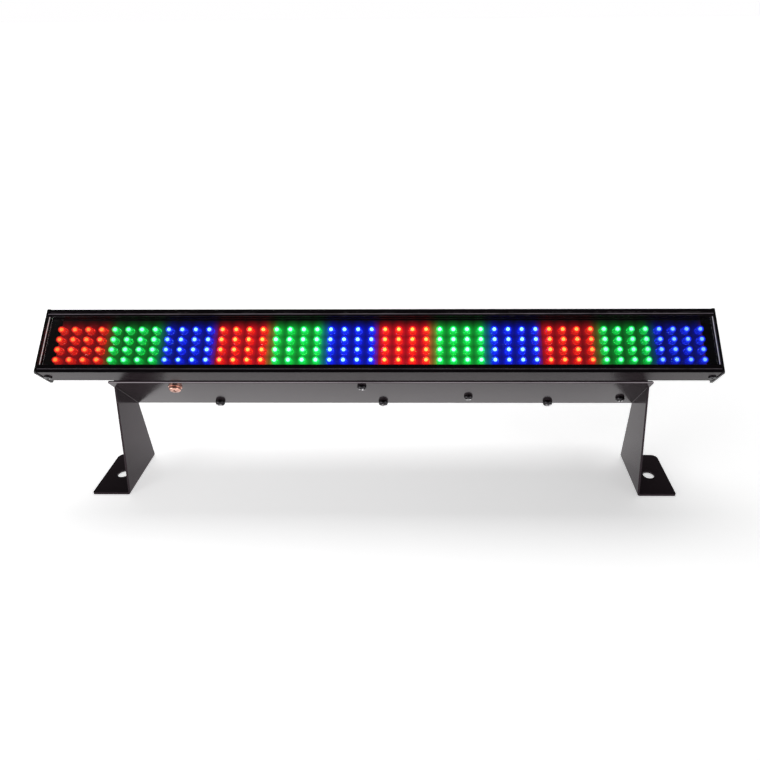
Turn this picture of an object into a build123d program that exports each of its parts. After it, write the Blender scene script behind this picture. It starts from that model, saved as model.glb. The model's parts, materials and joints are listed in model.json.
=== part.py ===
from build123d import *
import os
from math import cos, radians, sin

# LED strip batten: a tilted aluminium light bar on a one-piece bent steel bracket.
# Millimetres, +X along the bar, +Y to the back, +Z up, floor at Z = 0.
#
# The bar has its own directions: X along it, "rise" up the light face, and "depth"
# behind that face. Rise 0, depth 0 is the bar's lower front corner, the nose.

# ---- driving dimensions ----------------------------------------------------
tilt_deg = 40.0  # slope of the light face above the horizontal
nose_y = -40.16  # nose ahead of the middle of the object
nose_z = 110.0  # nose above the floor
overall_length = 490.0

extrusion_length = 487.0
extrusion_low = 0.5  # rise of the lower outer side
extrusion_high = 50.0  # rise of the upper outer side
extrusion_wall = 2.0
lip_edge_low = 6.5  # rise of the light opening's lower edge
lip_edge_high = 44.5
lower_side_depth = 17.0  # where the lower side steps in to the neck
upper_side_depth = 13.5
neck_step = 1.5
floor_front_depth = 18.5
extrusion_depth = 21.5

cap_thickness = 1.5
cap_high = 51.0
cap_depth = 22.0
cap_plug_length = 5.0
cap_plug_gap = 0.3
cap_lug_low = 6.2  # rise of the lower lug's upper edge
cap_lug_high = 44.8  # rise of the upper lug's lower edge
cap_screw_x = 240.1
cap_screw_depth = 9.7

window_front_depth = 1.6
window_thickness = 2.0

led_columns = 48
led_rows = 4
led_column_pitch = 10.0
led_row_pitch = 8.0
led_middle_rise = 24.5
leds_per_block = 4
led_diameter = 5.0
led_flange_diameter = 5.7
led_flange_height = 1.0
led_height = 6.6

board_thickness = 1.6
led_board_front_depth = 10.5
led_board_low = 4.2
led_board_high = 45.8
led_board_length = 476.0
led_board_screw_rise = 7.2
led_board_screw_x = [-200.0, -120.0, -40.0, 40.0, 120.0, 200.0]

sheet = 1.5  # bracket steel
web_low = 0.5  # rise of the web's underside
web_front_depth = 22.0
web_rear_depth = 71.5
front_flange_rise = 14.0
leg_inner_x = 201.5
leg_front_depth = 33.0
foot_rear_y = nose_y + 48.5
foot_front_y = nose_y - 3.0
foot_outer_x = 232.0
foot_hole_diameter = 9.0
foot_hole_x = 217.5
foot_hole_y = nose_y + 21.5

cover_sheet = 1.2
cover_half_length = 198.5
cover_low = 2.1  # rise of its lowest edge, on the web
cover_top_outer = 49.75
cover_overlap_depth = 14.2
cover_rear_depth = 71.5
cover_rear_inner = cover_rear_depth - cover_sheet

rear_screw_x = [-132.5, 0.0, 132.5]
rear_screw_depth = 67.0
board_screw_spots = [(-13.5, 30.0), (68.0, 54.0), (188.0, 57.7)]
blind_standoff_spot = (100.0, 30.0)
tapped_m3 = 1.55  # radius of a hole tapped for a 3 mm screw
clear_m3 = 1.7  # radius of a clearance hole for a 3 mm screw
clear_small = 1.6  # radius of a clearance hole for a 2.9 mm screw
earth_x = -155.0
earth_depth = 30.4

control_board_box = (-22.0, 78.0, 25.5, 60.0)  # X from, X to, depth from, depth to
supply_board_box = (94.0, 194.0, 25.5, 62.0)
circuit_rise = 8.0  # rise of the underside of both boards

panel_rise = 25.5  # middle line of everything in the rear wall
power_x = 150.0
data_in_x = 76.0
data_out_x = 36.0
display_x = -62.0
button_x = [-96.0, -108.0, -120.0, -132.0]
button_travel = 1.0

# ---- directions and planes -------------------------------------------------
rise_dir = Vector(0, cos(radians(tilt_deg)), sin(radians(tilt_deg)))
out_dir = Vector(0, -sin(radians(tilt_deg)), cos(radians(tilt_deg)))
bar = Plane(origin=(0, nose_y, nose_z), x_dir=(1, 0, 0), z_dir=out_dir)


def facing(depth):
    """Plane parallel to the light face. Local (X, rise); positive is forwards."""
    return bar.offset(-depth)


def across(x):
    """Plane across the bar. Local (rise, -depth); positive is +X."""
    return Plane(origin=bar.from_local_coords(Vector(x, 0, 0)), x_dir=rise_dir, z_dir=(1, 0, 0))


def under(rise):
    """Plane parallel to the lower side. Local (X, -depth); positive is down."""
    return Plane(origin=bar.from_local_coords(Vector(0, rise, 0)), x_dir=(1, 0, 0), z_dir=-rise_dir)


def over(rise):
    """Plane parallel to the upper side. Local (X, depth); positive is up."""
    return Plane(origin=bar.from_local_coords(Vector(0, rise, 0)), x_dir=(1, 0, 0), z_dir=rise_dir)


def spot(x, rise, depth):
    """A point of the bar in the part's own frame."""
    return bar.from_local_coords(Vector(x, rise, -depth))


def beyond(builder, plane):
    """The edges of a piece that lie furthest out along a plane's direction."""
    return builder.edges().group_by(Axis(plane.origin, plane.z_dir))[-1]


def edges_at(builder, x, z):
    """The edges of a piece whose middle is at this X, on either side, and this height."""
    return builder.edges().filter_by(
        lambda edge: abs(abs(edge.center().X) - x) < 0.01 and abs(edge.center().Z - z) < 0.01
    )


def save(builder, name):
    """Labels a finished piece and writes it."""
    builder.part.label = name
    export_step(builder.part, f"parts/{name}.step")


os.makedirs("parts", exist_ok=True)


# ---- fasteners -------------------------------------------------------------
def pan_screws(plane, spots, thread, length, head, head_height):
    """Pan-head cross-recess screws with their seats on a plane, heads outwards."""
    top = plane.offset(head_height)
    with BuildPart() as screws:
        with BuildSketch(plane):
            with Locations(*spots):
                Circle(head / 2)
        extrude(amount=head_height)
        fillet(beyond(screws, plane), radius=head_height * 0.55)
        with BuildSketch(top):
            with Locations(*spots):
                Rectangle(head * 0.55, head * 0.13)
                Rectangle(head * 0.13, head * 0.55)
        extrude(amount=-head_height * 0.6, mode=Mode.SUBTRACT)
        with BuildSketch(plane):
            with Locations(*spots):
                Circle(thread / 2)
        extrude(amount=-length)
    return screws


def posts(plane, spots, radius, height, hole_radius=0.0):
    """Round spacers, bosses or pins that stand on a plane."""
    with BuildPart() as made:
        with BuildSketch(plane):
            with Locations(*spots):
                Circle(radius)
                if hole_radius:
                    Circle(hole_radius, mode=Mode.SUBTRACT)
        extrude(amount=height)
    return made


def slab(plane, centre, size, thickness, corner=0.0):
    """A plain plate or block that stands on a plane."""
    with BuildPart() as made:
        with BuildSketch(plane):
            with Locations(centre):
                if corner:
                    RectangleRounded(*size, corner)
                else:
                    Rectangle(*size)
        extrude(amount=thickness)
    return made


def lead(points, radii, diameter):
    """An insulated wire along straight runs joined by tangent arcs."""
    with BuildPart() as wire:
        with BuildLine() as route:
            FilletPolyline(*points, radius=radii)
        with BuildSketch(Plane(origin=route.line @ 0, z_dir=route.line % 0)):
            Circle(diameter / 2)
        sweep(path=route.line)
    return wire


# ---- light bar: extrusion, end caps, window --------------------------------
neck_low = extrusion_low + neck_step
neck_high = extrusion_high - neck_step
inner_low = extrusion_low + extrusion_wall
inner_high = extrusion_high - extrusion_wall
lip_back_depth = 5.2
cavity = [
    (inner_low, -lip_back_depth),
    (inner_low, -14.5),
    (inner_low + neck_step, -16.0),
    (inner_low + neck_step, -floor_front_depth),
    (inner_high - neck_step, -floor_front_depth),
    (inner_high - neck_step, -13.0),
    (inner_high, -11.5),
    (inner_high, -lip_back_depth),
]
outline = [
    (extrusion_low, 0),
    (extrusion_low, -lower_side_depth),
    (neck_low, -lower_side_depth),
    (neck_low, -extrusion_depth),
    (neck_high, -extrusion_depth),
    (neck_high, -upper_side_depth),
    (extrusion_high, -upper_side_depth),
    (extrusion_high, 0),
]
window_slot_low = 3.5
window_slot_high = 47.5
window_slot_front = 1.5
window_slot_width = 2.25
groove_rises = [3.2, 47.3]
groove_width = 0.7
groove_depth = 0.5
loom_slot_x = 10.0
loom_slot_rise = 25.0
wall_screw_hole = 3.3
cover_top_screw_x = [-180.0, -60.0, 60.0, 180.0]
cover_top_screw_depth = 17.8
flange_screw_x = [-170.0, -56.0, 56.0, 170.0]
flange_screw_rise = 9.0

with BuildPart() as front_extrusion:
    with BuildSketch(across(0)) as profile:
        with BuildLine():
            Polyline(*outline, close=True)
        make_face()
        fillet(profile.vertices().sort_by(Axis(bar.origin, out_dir))[-2:], radius=2.6)
        with BuildLine():
            Polyline(*cavity, close=True)
        make_face(mode=Mode.SUBTRACT)
        with Locations(((lip_edge_low + lip_edge_high) / 2, -lip_back_depth / 2)):
            Rectangle(lip_edge_high - lip_edge_low, lip_back_depth + 0.2, mode=Mode.SUBTRACT)
        slot_middle = -(window_slot_front + window_slot_width / 2)
        with Locations(((window_slot_low + window_slot_high) / 2, slot_middle)):
            Rectangle(window_slot_high - window_slot_low, window_slot_width, mode=Mode.SUBTRACT)
        with Locations(*[(rise, 0) for rise in groove_rises]):
            Rectangle(groove_width, 2 * groove_depth, mode=Mode.SUBTRACT)
    extrude(amount=extrusion_length / 2, both=True)
    with BuildSketch(facing(extrusion_depth + 1)):
        with Locations((loom_slot_x, loom_slot_rise)):
            SlotOverall(24, 9)
    extrude(amount=6, mode=Mode.SUBTRACT)
    with BuildSketch(facing(extrusion_depth + 1)):
        with Locations(*[(x, led_board_screw_rise) for x in led_board_screw_x]):
            Circle(1.3)
        with Locations(*[(x, flange_screw_rise) for x in flange_screw_x]):
            Circle(tapped_m3)
    extrude(amount=6, mode=Mode.SUBTRACT)
    with BuildSketch(under(extrusion_low - 1)):
        with Locations((-cap_screw_x, -cap_screw_depth), (cap_screw_x, -cap_screw_depth)):
            Circle(wall_screw_hole / 2)
    extrude(amount=-60, mode=Mode.SUBTRACT)
    with BuildSketch(over(neck_high + 1)):
        with Locations(*[(x, cover_top_screw_depth) for x in cover_top_screw_x]):
            Circle(tapped_m3)
    extrude(amount=-5, mode=Mode.SUBTRACT)
save(front_extrusion, "front_extrusion")

for side, name in ((-1, "end_cap_left"), (1, "end_cap_right")):
    inner_face = side * (overall_length / 2 - cap_thickness)
    plug_plane = across(inner_face)
    with BuildPart() as end_cap:
        with BuildSketch(plug_plane) as plate:
            with Locations((cap_high / 2, -cap_depth / 2)):
                Rectangle(cap_high, cap_depth)
            fillet(plate.vertices(), radius=1.6)
        extrude(amount=side * cap_thickness)
        with BuildSketch(plug_plane):
            with BuildLine():
                Polyline(*cavity, close=True)
            make_face()
            offset(amount=-cap_plug_gap, mode=Mode.REPLACE)
            with Locations(((cap_lug_low + cap_lug_high) / 2, -cap_depth / 2)):
                Rectangle(cap_lug_high - cap_lug_low, cap_depth, mode=Mode.SUBTRACT)
        extrude(amount=-side * cap_plug_length)
        with BuildSketch(under(0)):
            with Locations((side * cap_screw_x, -cap_screw_depth)):
                Circle(1.3)
        extrude(amount=-60, mode=Mode.SUBTRACT)
    save(end_cap, name)

cap_screw = dict(thread=2.5, length=5.0, head=5.4, head_height=1.1)
with BuildPart() as end_cap_screws:
    cap_spots = [(-cap_screw_x, -cap_screw_depth), (cap_screw_x, -cap_screw_depth)]
    add(pan_screws(under(extrusion_low), cap_spots, **cap_screw).part)
    cap_spots = [(-cap_screw_x, cap_screw_depth), (cap_screw_x, cap_screw_depth)]
    add(pan_screws(over(extrusion_high), cap_spots, **cap_screw).part)
save(end_cap_screws, "end_cap_screws")

clear_window = slab(
    facing(window_front_depth + window_thickness),
    centre=(0, (window_slot_low + window_slot_high) / 2),
    size=(extrusion_length - 0.6, window_slot_high - window_slot_low - 0.5),
    thickness=window_thickness,
)
save(clear_window, "clear_window")

# ---- light bar: LED board and LEDs -----------------------------------------
led_board_back_depth = led_board_front_depth + board_thickness
led_board_screw_spots = [(x, led_board_screw_rise) for x in led_board_screw_x]
with BuildPart() as led_board:
    with BuildSketch(facing(led_board_back_depth)):
        with Locations((0, (led_board_low + led_board_high) / 2)):
            Rectangle(led_board_length, led_board_high - led_board_low)
        with Locations(*led_board_screw_spots):
            Circle(1.5, mode=Mode.SUBTRACT)
    extrude(amount=board_thickness)
save(led_board, "led_board")

led_board_spacers = posts(
    facing(floor_front_depth),
    led_board_screw_spots,
    radius=3.0,
    height=floor_front_depth - led_board_back_depth,
    hole_radius=1.5,
)
save(led_board_spacers, "led_board_spacers")
led_board_screws = pan_screws(
    facing(led_board_front_depth), led_board_screw_spots, thread=2.5, length=10.0, head=4.8, head_height=1.7
)
save(led_board_screws, "led_board_screws")

thermal_strip = slab(
    facing(floor_front_depth),
    centre=(0, 43.0),
    size=(460.0, 4.5),
    thickness=floor_front_depth - led_board_back_depth,
)
save(thermal_strip, "thermal_strip")


def led_spots(colour_index):
    """The centres of every LED in each third block of four columns."""
    found = []
    for column in range(led_columns):
        if (column // leds_per_block) % 3 == colour_index:
            x = (column - (led_columns - 1) / 2) * led_column_pitch
            for row in range(led_rows):
                rise = led_middle_rise + (row - (led_rows - 1) / 2) * led_row_pitch
                found.append((x, rise))
    return found


for colour_index, name in enumerate(("leds_red", "leds_green", "leds_blue")):
    base = facing(led_board_front_depth)
    with BuildPart() as leds:
        with BuildSketch(base):
            with Locations(*led_spots(colour_index)):
                Circle(led_diameter / 2)
        extrude(amount=led_height)
        fillet(beyond(leds, base), radius=led_diameter / 2 - 0.1)
        with BuildSketch(base):
            with Locations(*led_spots(colour_index)):
                Circle(led_flange_diameter / 2)
        extrude(amount=led_flange_height)
    save(leds, name)

# ---- bracket: web, front flange, legs and feet from one bent sheet ----------
web_high = web_low + sheet
leg_outer_x = leg_inner_x + sheet
web_front_low = spot(0, web_low, web_front_depth)
web_front_high = spot(0, web_high, web_front_depth)
web_rear_high = spot(0, web_high, web_rear_depth)
web_rear_low = spot(0, web_low, web_rear_depth)
leg_front_low = spot(0, web_low, leg_front_depth)
side_outline = [
    (web_front_high.Y, web_front_high.Z),
    (web_rear_high.Y, web_rear_high.Z),
    (web_rear_low.Y, web_rear_low.Z),
    (foot_rear_y, 0),
    (foot_front_y, 0),
    (leg_front_low.Y, leg_front_low.Z),
    (web_front_low.Y, web_front_low.Z),
]
bend_outer_radius = 1.9
bend_inner_radius = 0.4
front_bend_radius = 1.4
bracket_reach = 150.0  # longer than the outline that is then cut from it
bracket_drop = 200.0
front_flange_half_length = 196.5
earth_hole_radius = 2.6
web_hole_spots = [(x, -rear_screw_depth) for x in rear_screw_x]
web_hole_spots += [(x, -depth) for x, depth in board_screw_spots]
foot_hole_spots = [(-foot_hole_x, foot_hole_y), (foot_hole_x, foot_hole_y)]

with BuildPart() as chassis_bracket:
    # web and legs as one bent channel, run along the depth of the bar
    with BuildSketch(facing(0)) as channel:
        with Locations((0, web_high - bracket_drop / 2)):
            Rectangle(2 * leg_outer_x, bracket_drop)
        top_corners = channel.vertices().sort_by(Axis(bar.origin, rise_dir))[-2:]
        fillet(top_corners, radius=bend_outer_radius)
    extrude(amount=-bracket_reach)
    with BuildSketch(facing(-1)) as hollow:
        with Locations((0, web_low - bracket_drop / 2)):
            Rectangle(2 * leg_inner_x, bracket_drop)
        top_corners = hollow.vertices().sort_by(Axis(bar.origin, rise_dir))[-2:]
        fillet(top_corners, radius=bend_inner_radius)
    extrude(amount=-bracket_reach - 2, mode=Mode.SUBTRACT)
    # feet, bent outwards at the floor
    for side in (-1, 1):
        with BuildSketch(Plane.XZ.offset(-foot_rear_y)) as foot:
            with BuildLine():
                Polyline(
                    (side * leg_inner_x, 0),
                    (side * foot_outer_x, 0),
                    (side * foot_outer_x, sheet),
                    (side * leg_outer_x, sheet),
                    (side * leg_outer_x, 6),
                    (side * leg_inner_x, 6),
                    close=True,
                )
            make_face()
        extrude(amount=foot_rear_y - foot_front_y)
    # the side view cuts legs, web and feet to their outline
    with BuildSketch(Plane.YZ):
        with BuildLine():
            Polyline(*side_outline, close=True)
        make_face()
    extrude(amount=foot_outer_x + 1, both=True, mode=Mode.INTERSECT)
    fillet(edges_at(chassis_bracket, leg_inner_x, 0).filter_by(Axis.Y), radius=bend_outer_radius)
    fillet(edges_at(chassis_bracket, leg_outer_x, sheet).filter_by(Axis.Y), radius=bend_inner_radius)
    fillet(edges_at(chassis_bracket, foot_outer_x, sheet / 2).sort_by(Axis.Y)[-2:], radius=5.0)
    fillet(edges_at(chassis_bracket, foot_outer_x, sheet / 2).sort_by(Axis.Y)[:2], radius=1.5)
    # front flange, turned up behind the extrusion
    with BuildSketch(across(0)) as flange:
        with BuildLine():
            Polyline(
                (web_low, -web_front_depth),
                (front_flange_rise, -web_front_depth),
                (front_flange_rise, -web_front_depth - sheet),
                (web_high, -web_front_depth - sheet),
                (web_high, -web_front_depth - 6),
                (web_low, -web_front_depth - 6),
                close=True,
            )
        make_face()
    extrude(amount=front_flange_half_length, both=True)
    lowest_front = chassis_bracket.edges().filter_by(Axis.X).group_by(Axis(bar.origin, out_dir))[-1]
    fillet(lowest_front.group_by(Axis(bar.origin, rise_dir))[0], radius=front_bend_radius)
    with BuildSketch(under(web_low - 1)):
        with Locations(*web_hole_spots):
            Circle(clear_m3)
        with Locations((earth_x, -earth_depth)):
            Circle(earth_hole_radius)
    extrude(amount=-4, mode=Mode.SUBTRACT)
    with BuildSketch(facing(web_front_depth - 1)):
        with Locations(*[(x, flange_screw_rise) for x in flange_screw_x]):
            Circle(clear_m3)
    extrude(amount=-4, mode=Mode.SUBTRACT)
    with BuildSketch(Plane.XY):
        with Locations(*foot_hole_spots):
            Circle(foot_hole_diameter / 2)
    extrude(amount=3, mode=Mode.SUBTRACT)
save(chassis_bracket, "chassis_bracket")

flange_screw_spots = [(x, flange_screw_rise) for x in flange_screw_x]
with BuildPart() as flange_screws:
    rear_facing = Plane(origin=facing(web_front_depth + sheet).origin, x_dir=(1, 0, 0), z_dir=-out_dir)
    flange_heads = [(x, -rise) for x, rise in flange_screw_spots]
    add(pan_screws(rear_facing, flange_heads, thread=3.0, length=4.3, head=5.6, head_height=2.0).part)
save(flange_screws, "flange_screws")

# ---- rear cover --------------------------------------------------------------
cover_top_inner = cover_top_outer - cover_sheet
cover_front_depth = 22.3
cover_flange_depth = 58.0
display_window = (31.6, 15.4)
button_hole_diameter = 5.6
power_cutout = (28.0, 30.0)
data_cutout_diameter = 24.2
panel_screw_offset = (9.5, 12.0)
data_screw_spots = [
    (x + side * panel_screw_offset[0], panel_rise + side * panel_screw_offset[1])
    for x in (data_in_x, data_out_x)
    for side in (-1, 1)
]
display_screw_spots = [(-40.0, 41.0), (-140.0, 41.0), (-40.0, 10.0), (-140.0, 10.0)]

with BuildPart() as rear_cover:
    with BuildSketch(across(0)) as shell_profile:
        with BuildLine():
            Polyline(
                (cover_low, -cover_front_depth),
                (cover_low, -cover_rear_depth),
                (cover_top_outer, -cover_rear_depth),
                (cover_top_outer, -cover_front_depth),
                close=True,
            )
        make_face()
    extrude(amount=cover_half_length, both=True)
    top_rear = rear_cover.edges().filter_by(Axis.X).sort_by(Axis.Y)[-1]
    fillet(top_rear, radius=1.8)
    with BuildSketch(across(0)):
        with BuildLine():
            Polyline(
                (cover_low - 1, -cover_front_depth + 1),
                (cover_low - 1, -cover_rear_inner),
                (cover_top_inner, -cover_rear_inner),
                (cover_top_inner, -cover_front_depth + 1),
                close=True,
            )
        make_face()
    extrude(amount=cover_half_length - cover_sheet, both=True, mode=Mode.SUBTRACT)
    # bottom flange, on the web
    with BuildSketch(across(0)):
        with Locations((cover_low + cover_sheet / 2, -(cover_flange_depth + cover_rear_inner) / 2)):
            Rectangle(cover_sheet, cover_rear_inner - cover_flange_depth)
    extrude(amount=cover_half_length - cover_sheet, both=True)
    # top overlap, on the extrusion's neck
    with BuildSketch(across(0)):
        overlap_middle = -(cover_overlap_depth + cover_front_depth) / 2
        with Locations((cover_top_outer - cover_sheet / 2, overlap_middle)):
            Rectangle(cover_sheet, cover_front_depth - cover_overlap_depth)
    extrude(amount=cover_half_length, both=True)
    with BuildSketch(over(cover_top_outer + 1)):
        with Locations(*[(x, cover_top_screw_depth) for x in cover_top_screw_x]):
            Circle(clear_m3)
    extrude(amount=-4, mode=Mode.SUBTRACT)
    with BuildSketch(under(cover_low - 1)):
        with Locations(*[(x, -rear_screw_depth) for x in rear_screw_x]):
            Circle(tapped_m3)
        with Locations((board_screw_spots[2][0], -board_screw_spots[2][1] + 3)):
            Rectangle(14, 16)
    extrude(amount=-3, mode=Mode.SUBTRACT)
    with BuildSketch(facing(cover_rear_inner - 1)):
        with Locations((power_x, panel_rise)):
            Rectangle(*power_cutout)
        with Locations((data_in_x, panel_rise), (data_out_x, panel_rise)):
            Circle(data_cutout_diameter / 2)
        with Locations(*data_screw_spots):
            Circle(clear_small)
        with Locations((display_x, panel_rise)):
            Rectangle(*display_window)
        with Locations(*[(x, panel_rise) for x in button_x]):
            Circle(button_hole_diameter / 2)
        with Locations(*display_screw_spots):
            Circle(clear_small)
    extrude(amount=-4, mode=Mode.SUBTRACT)
save(rear_cover, "rear_cover")

cover_rear_screws = pan_screws(
    under(web_low),
    [(x, -rear_screw_depth) for x in rear_screw_x],
    thread=3.0,
    length=6.0,
    head=7.6,
    head_height=2.4,
)
save(cover_rear_screws, "cover_rear_screws")
cover_top_screws = pan_screws(
    over(cover_top_outer),
    [(x, cover_top_screw_depth) for x in cover_top_screw_x],
    thread=3.0,
    length=4.5,
    head=5.6,
    head_height=2.0,
)
save(cover_top_screws, "cover_top_screws")

# ---- boards on the web, with the screws that show under it ---------------------
board_screws = pan_screws(
    under(web_low),
    [(x, -depth) for x, depth in board_screw_spots],
    thread=3.0,
    length=6.5,
    head=6.9,
    head_height=2.4,
)
save(board_screws, "board_screws")
standoff_height = circuit_rise - web_high
board_standoffs = posts(
    over(web_high),
    [*board_screw_spots, blind_standoff_spot],
    radius=3.2,
    height=standoff_height,
    hole_radius=tapped_m3,
)
save(board_standoffs, "board_standoffs")
blind_standoff_screw = pan_screws(
    over(circuit_rise + board_thickness),
    [blind_standoff_spot],
    thread=2.5,
    length=5.0,
    head=5.6,
    head_height=2.0,
)
save(blind_standoff_screw, "blind_standoff_screw")


def circuit_board(edges, holes):
    """A board that lies on the standoffs over the web."""
    x_from, x_to, depth_from, depth_to = edges
    with BuildPart() as board:
        with BuildSketch(over(circuit_rise)):
            with Locations(((x_from + x_to) / 2, (depth_from + depth_to) / 2)):
                Rectangle(x_to - x_from, depth_to - depth_from)
            with Locations(*holes):
                Circle(clear_small, mode=Mode.SUBTRACT)
        extrude(amount=board_thickness)
    return board


circuit_top = circuit_rise + board_thickness
control_board = circuit_board(control_board_box, board_screw_spots[:2])
save(control_board, "control_board")
supply_board = circuit_board(supply_board_box, [board_screw_spots[2], blind_standoff_spot])
save(supply_board, "supply_board")


def on_board(spots, size, height, corner=0.0):
    """Rectangular components standing on a circuit board. Spots are (X, depth)."""
    with BuildPart() as made:
        with BuildSketch(over(circuit_top)):
            with Locations(*spots):
                if corner:
                    RectangleRounded(*size, corner)
                else:
                    Rectangle(*size)
        extrude(amount=height)
    return made


save(on_board([(48.0, 44.0)], (14.0, 14.0), 1.6), "control_chip")
save(on_board([(-4.0, 54.0), (8.0, 54.0), (20.0, 54.0)], (6.0, 4.6), 3.0), "driver_chips")
save(on_board([(10.0, 30.0)], (20.0, 5.0), 6.0), "led_header")

transformer_spot = (128.0, 36.0)
transformer_layers = [  # height from, height to, length, width, corner
    (0.0, 5.0, 24.0, 17.0, 1.0),
    (5.0, 16.0, 20.0, 15.0, 4.0),
    (16.0, 20.0, 24.0, 17.0, 1.0),
]
with BuildPart() as supply_transformer:
    for low, high, length, width, corner in transformer_layers:
        with BuildSketch(over(circuit_top + low)):
            with Locations(transformer_spot):
                RectangleRounded(length, width, corner)
        extrude(amount=high - low)
save(supply_transformer, "supply_transformer")

capacitors = [(176.0, 36.0, 8.0, 26.0), (156.0, 32.0, 5.0, 16.0), (104.0, 44.0, 4.0, 12.0)]
with BuildPart() as supply_capacitors:
    for x, depth, radius, height in capacitors:
        with BuildSketch(over(circuit_top)):
            with Locations((x, depth)):
                Circle(radius)
        extrude(amount=height)
    fillet(supply_capacitors.edges().filter_by(GeomType.CIRCLE).sort_by(Axis.Z)[-1], radius=0.8)
save(supply_capacitors, "supply_capacitors")

fin_count = 7
fin_pitch = 4.5
with BuildPart() as supply_heatsink:
    with BuildSketch(over(circuit_top)):
        with Locations((112.0, 57.0)):
            Rectangle(30.0, 2.0)
        with Locations(*[(98.5 + fin_pitch * step, 53.5) for step in range(fin_count)]):
            Rectangle(1.2, 5.2)
    extrude(amount=22.0)
save(supply_heatsink, "supply_heatsink")

# ---- earth point on the web ------------------------------------------------------
earth_spot = (earth_x, -earth_depth)
washer_height = 0.9
earth_washer = posts(under(web_low), [earth_spot], radius=5.0, height=washer_height, hole_radius=2.2)
save(earth_washer, "earth_washer")
earth_screw = pan_screws(
    under(web_low - washer_height), [earth_spot], thread=4.0, length=11.0, head=8.6, head_height=3.0
)
save(earth_screw, "earth_screw")
with BuildPart() as earth_nut:
    with BuildSketch(over(web_high + 1.2)):
        with Locations((earth_x, earth_depth)):
            RegularPolygon(radius=4.0, side_count=6)
            Circle(2.05, mode=Mode.SUBTRACT)
    extrude(amount=3.2)
save(earth_nut, "earth_nut")
with BuildPart() as earth_tag:
    with BuildSketch(over(web_high + 0.1)):
        with Locations((earth_x, earth_depth)):
            Circle(4.2)
        with Locations((earth_x + 8.0, earth_depth)):
            Rectangle(12.0, 4.6)
        with Locations((earth_x, earth_depth)):
            Circle(2.2, mode=Mode.SUBTRACT)
    extrude(amount=1.0)
save(earth_tag, "earth_tag")

# ---- rear wall: data connectors ----------------------------------------------------
flange_size = (26.0, 31.0)
flange_thickness = 2.4
body_radius = 11.8
body_depth = 20.0
socket_radius = 9.7
socket_depth = 15.0
outer_wall = facing(cover_rear_depth)
pin_circle = 4.0
pin_offsets = [
    (-pin_circle, 1.2),
    (pin_circle, 1.2),
    (0.0, -pin_circle),
]


def data_shell(x):
    """Die-cast shell of a three-pole chassis connector, open to the back."""
    back = facing(cover_rear_depth + flange_thickness)
    with BuildPart() as shell:
        with BuildSketch(back):
            with Locations((x, panel_rise)):
                RectangleRounded(*flange_size, 3.0)
        extrude(amount=flange_thickness)
        fillet(beyond(shell, Plane(origin=back.origin, z_dir=-out_dir)), radius=0.5)
        with BuildSketch(outer_wall):
            with Locations((x, panel_rise)):
                Circle(body_radius)
        extrude(amount=body_depth)
        with BuildSketch(facing(cover_rear_depth + flange_thickness + 1)):
            with Locations((x, panel_rise)):
                Circle(socket_radius)
        extrude(amount=socket_depth + 1, mode=Mode.SUBTRACT)
        with BuildSketch(facing(cover_rear_depth + flange_thickness + 1)):
            with Locations(*[(sx, rise) for sx, rise in data_screw_spots if abs(sx - x) < 11]):
                Circle(clear_small)
        extrude(amount=flange_thickness + 2, mode=Mode.SUBTRACT)
    return shell


socket_floor = facing(cover_rear_depth + flange_thickness - socket_depth)
data_inlet_shell = data_shell(data_in_x)
save(data_inlet_shell, "data_inlet_shell")
pin_spots = [(data_in_x + dx, panel_rise + dy) for dx, dy in pin_offsets]
with BuildPart() as data_inlet_pins:
    with BuildSketch(socket_floor):
        with Locations(*pin_spots):
            Circle(1.2)
    extrude(amount=-12.5)
    fillet(beyond(data_inlet_pins, Plane(origin=socket_floor.origin, z_dir=-out_dir)), radius=0.8)
save(data_inlet_pins, "data_inlet_pins")

latch_rise = 9.7
latch_size = (5.6, 2.6)
with BuildPart() as data_outlet_shell:
    add(data_shell(data_out_x).part)
    with BuildSketch(facing(cover_rear_depth + flange_thickness + 1)):
        with Locations((data_out_x, panel_rise + latch_rise)):
            Rectangle(latch_size[0] + 0.5, latch_size[1] + 0.5)
    extrude(amount=flange_thickness + 7.0, mode=Mode.SUBTRACT)
save(data_outlet_shell, "data_outlet_shell")
contact_spots = [(data_out_x + dx, panel_rise + dy) for dx, dy in pin_offsets]
with BuildPart() as data_outlet_insert:
    with BuildSketch(socket_floor):
        with Locations((data_out_x, panel_rise)):
            Circle(7.9)
    extrude(amount=-14.2)
    with BuildSketch(facing(cover_rear_depth + 3)):
        with Locations(*contact_spots):
            Circle(1.5)
    extrude(amount=12, mode=Mode.SUBTRACT)
save(data_outlet_insert, "data_outlet_insert")
with BuildPart() as data_outlet_latch:
    latch_front = facing(cover_rear_depth - 3.6)
    with BuildSketch(latch_front):
        with Locations((data_out_x, panel_rise + latch_rise)):
            RectangleRounded(*latch_size, 0.6)
    extrude(amount=-(3.6 + flange_thickness + 1.8))
    fillet(beyond(data_outlet_latch, Plane(origin=latch_front.origin, z_dir=-out_dir)), radius=0.6)
save(data_outlet_latch, "data_outlet_latch")
screw_seat = Plane(
    origin=facing(cover_rear_depth + flange_thickness).origin, x_dir=(1, 0, 0), z_dir=-out_dir
)
data_heads = [(x, -rise) for x, rise in data_screw_spots]
data_screws = pan_screws(screw_seat, data_heads, thread=2.9, length=8.0, head=5.6, head_height=1.9)
save(data_screws, "data_connector_screws")

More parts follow.
